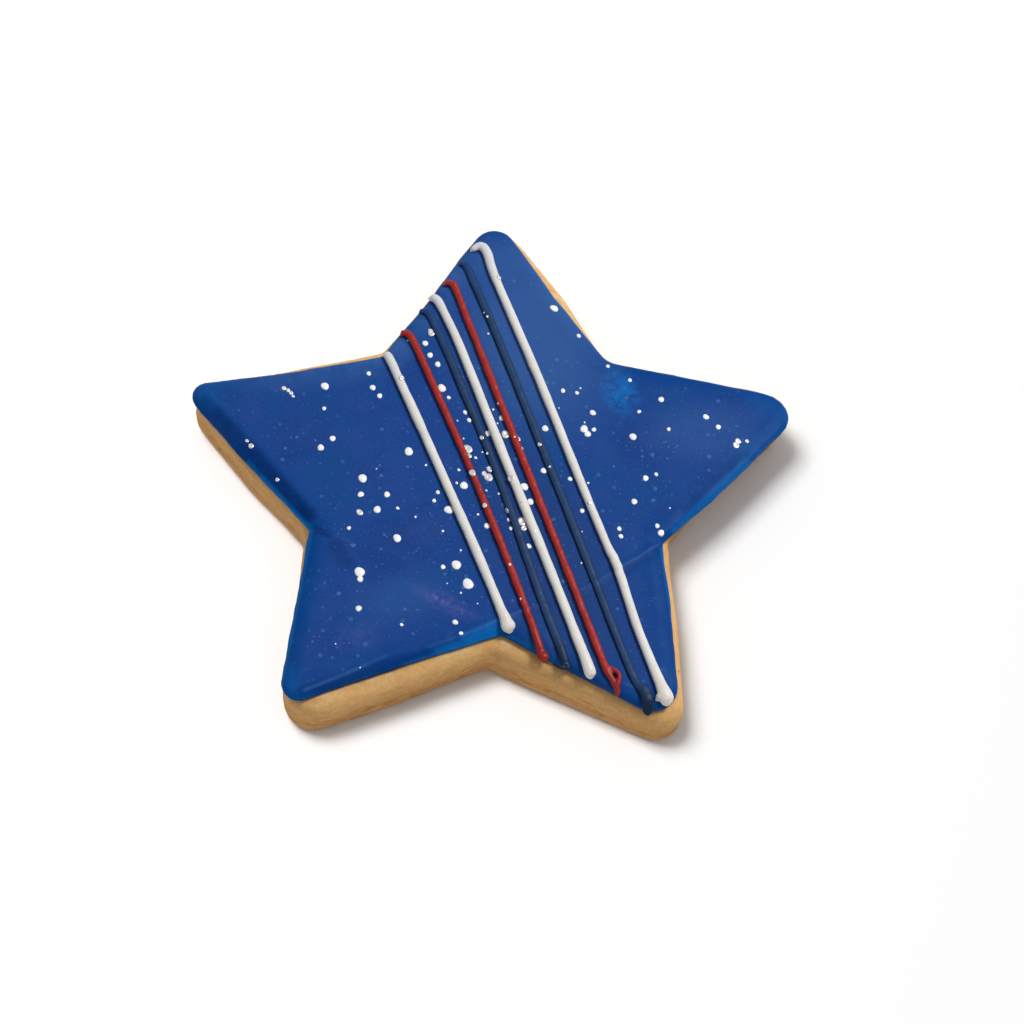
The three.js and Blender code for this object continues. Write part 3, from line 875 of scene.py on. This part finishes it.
placed_white = [(on_star(x, y), size * MM) for x, y, size in WHITE_DROPS]
placed_silver = [(on_star(x, y), size * MM) for x, y, size in SILVER_DROPS]
fine_white = scattered(30, 1.3, 0.2, 0.4) + scattered(12, 0.6, 0.25, 0.45)
fine_silver = scattered(12, 0.4, 0.35, 0.7)
white_paint = paint("white paint", (0.97, 0.97, 0.97), 0.4, 0.0)
silver_paint = paint("silver paint", (0.90, 0.86, 0.88), 0.25, 0.45)
drops_piece("white_specks", placed_white + fine_white, 0.0, white_paint)
drops_piece("silver_specks", placed_silver + fine_silver, 0.8, silver_paint)


# ---------------------------------------------------------------------------- The table and the light
# A plain white sweep. A soft lamp beyond the cookie's right side shows up the relief of its top,
# a low one behind it brightens the far edge of the biscuit, and one from its left lays the soft
# shadow on the sweep.

floor_net = bmesh.new()
bmesh.ops.create_grid(floor_net, x_segments=4, y_segments=4, size=1.5)
floor_material, floor_shader, floor_coordinates = new_material("white sweep", 0.9)
floor_tree = floor_material.node_tree
floor_unevenness = blotches(floor_tree, floor_coordinates, 0.3, 2)
floor_tone = mix(floor_tree, floor_unevenness, (0.93, 0.93, 0.93), (0.96, 0.96, 0.96))
floor_tree.links.new(floor_tone, floor_shader.inputs["Base Color"])
floor_shader.inputs["Specular IOR Level"].default_value = 0.1
floor = shown_piece("floor", floor_net, floor_material)

world = bpy.data.worlds.new("soft room")
world.use_nodes = True
room_light = world.node_tree.nodes["Background"]
room_light.inputs["Color"].default_value = (1.0, 1.0, 1.0, 1)
room_light.inputs["Strength"].default_value = 0.4
bpy.context.scene.world = world


def direction(azimuth, elevation):
    """Direction from the cookie to something seen along an azimuth and elevation, in degrees."""
    turn, rise = math.radians(azimuth), math.radians(elevation)
    return Vector((math.sin(turn) * math.cos(rise), -math.cos(turn) * math.cos(rise), math.sin(rise)))


def soft_lamp(name, back, distance, size, power, lights_up):
    """A square lamp facing the cookie, which lights only the given pieces."""
    lamp = bpy.data.lights.new(name, "AREA")
    lamp.size = size
    lamp.energy = power
    light = bpy.data.objects.new(name, lamp)
    light.location = back * distance
    light.rotation_euler = back.to_track_quat("Z", "Y").to_euler()
    bpy.context.scene.collection.objects.link(light)
    lit = bpy.data.collections.new(name + " lights up")
    for piece in lights_up:
        lit.objects.link(piece)
    light.light_linking.receiver_collection = lit


cookie = [piece for piece in bpy.context.scene.objects if piece.type == "MESH" and piece is not floor]
soft_lamp("relief_lamp", direction(120, 58), 0.9, 0.25, 6.0, cookie)
soft_lamp("rim_lamp", direction(168, 22), 0.9, 0.5, 2.5, [biscuit])
soft_lamp("shadow_lamp", direction(-114, 64), 1.2, 0.5, 11.8, [floor])

CAMERA_DISTANCE = 422 * MM
CAMERA_ROLL = math.radians(11.4)
CAMERA_TARGET = on_star(3.5, -0.4)
camera_back = direction(-10.0, 58.2)
across = Vector((0, 0, 1)).cross(camera_back).normalized()
upward = camera_back.cross(across)
rolled_across = across * math.cos(CAMERA_ROLL) + upward * math.sin(CAMERA_ROLL)
camera_data = bpy.data.cameras.new("camera")
camera_data.sensor_width = 36
camera_data.lens = 105.5
camera_data.clip_start = 0.01
camera = bpy.data.objects.new("camera", camera_data)
turned = Matrix((rolled_across, camera_back.cross(rolled_across), camera_back)).transposed().to_4x4()
camera.matrix_world = Matrix.Translation(CAMERA_TARGET + camera_back * CAMERA_DISTANCE) @ turned
bpy.context.scene.collection.objects.link(camera)
bpy.context.scene.camera = camera
bpy.context.scene.view_settings.view_transform = "Standard"
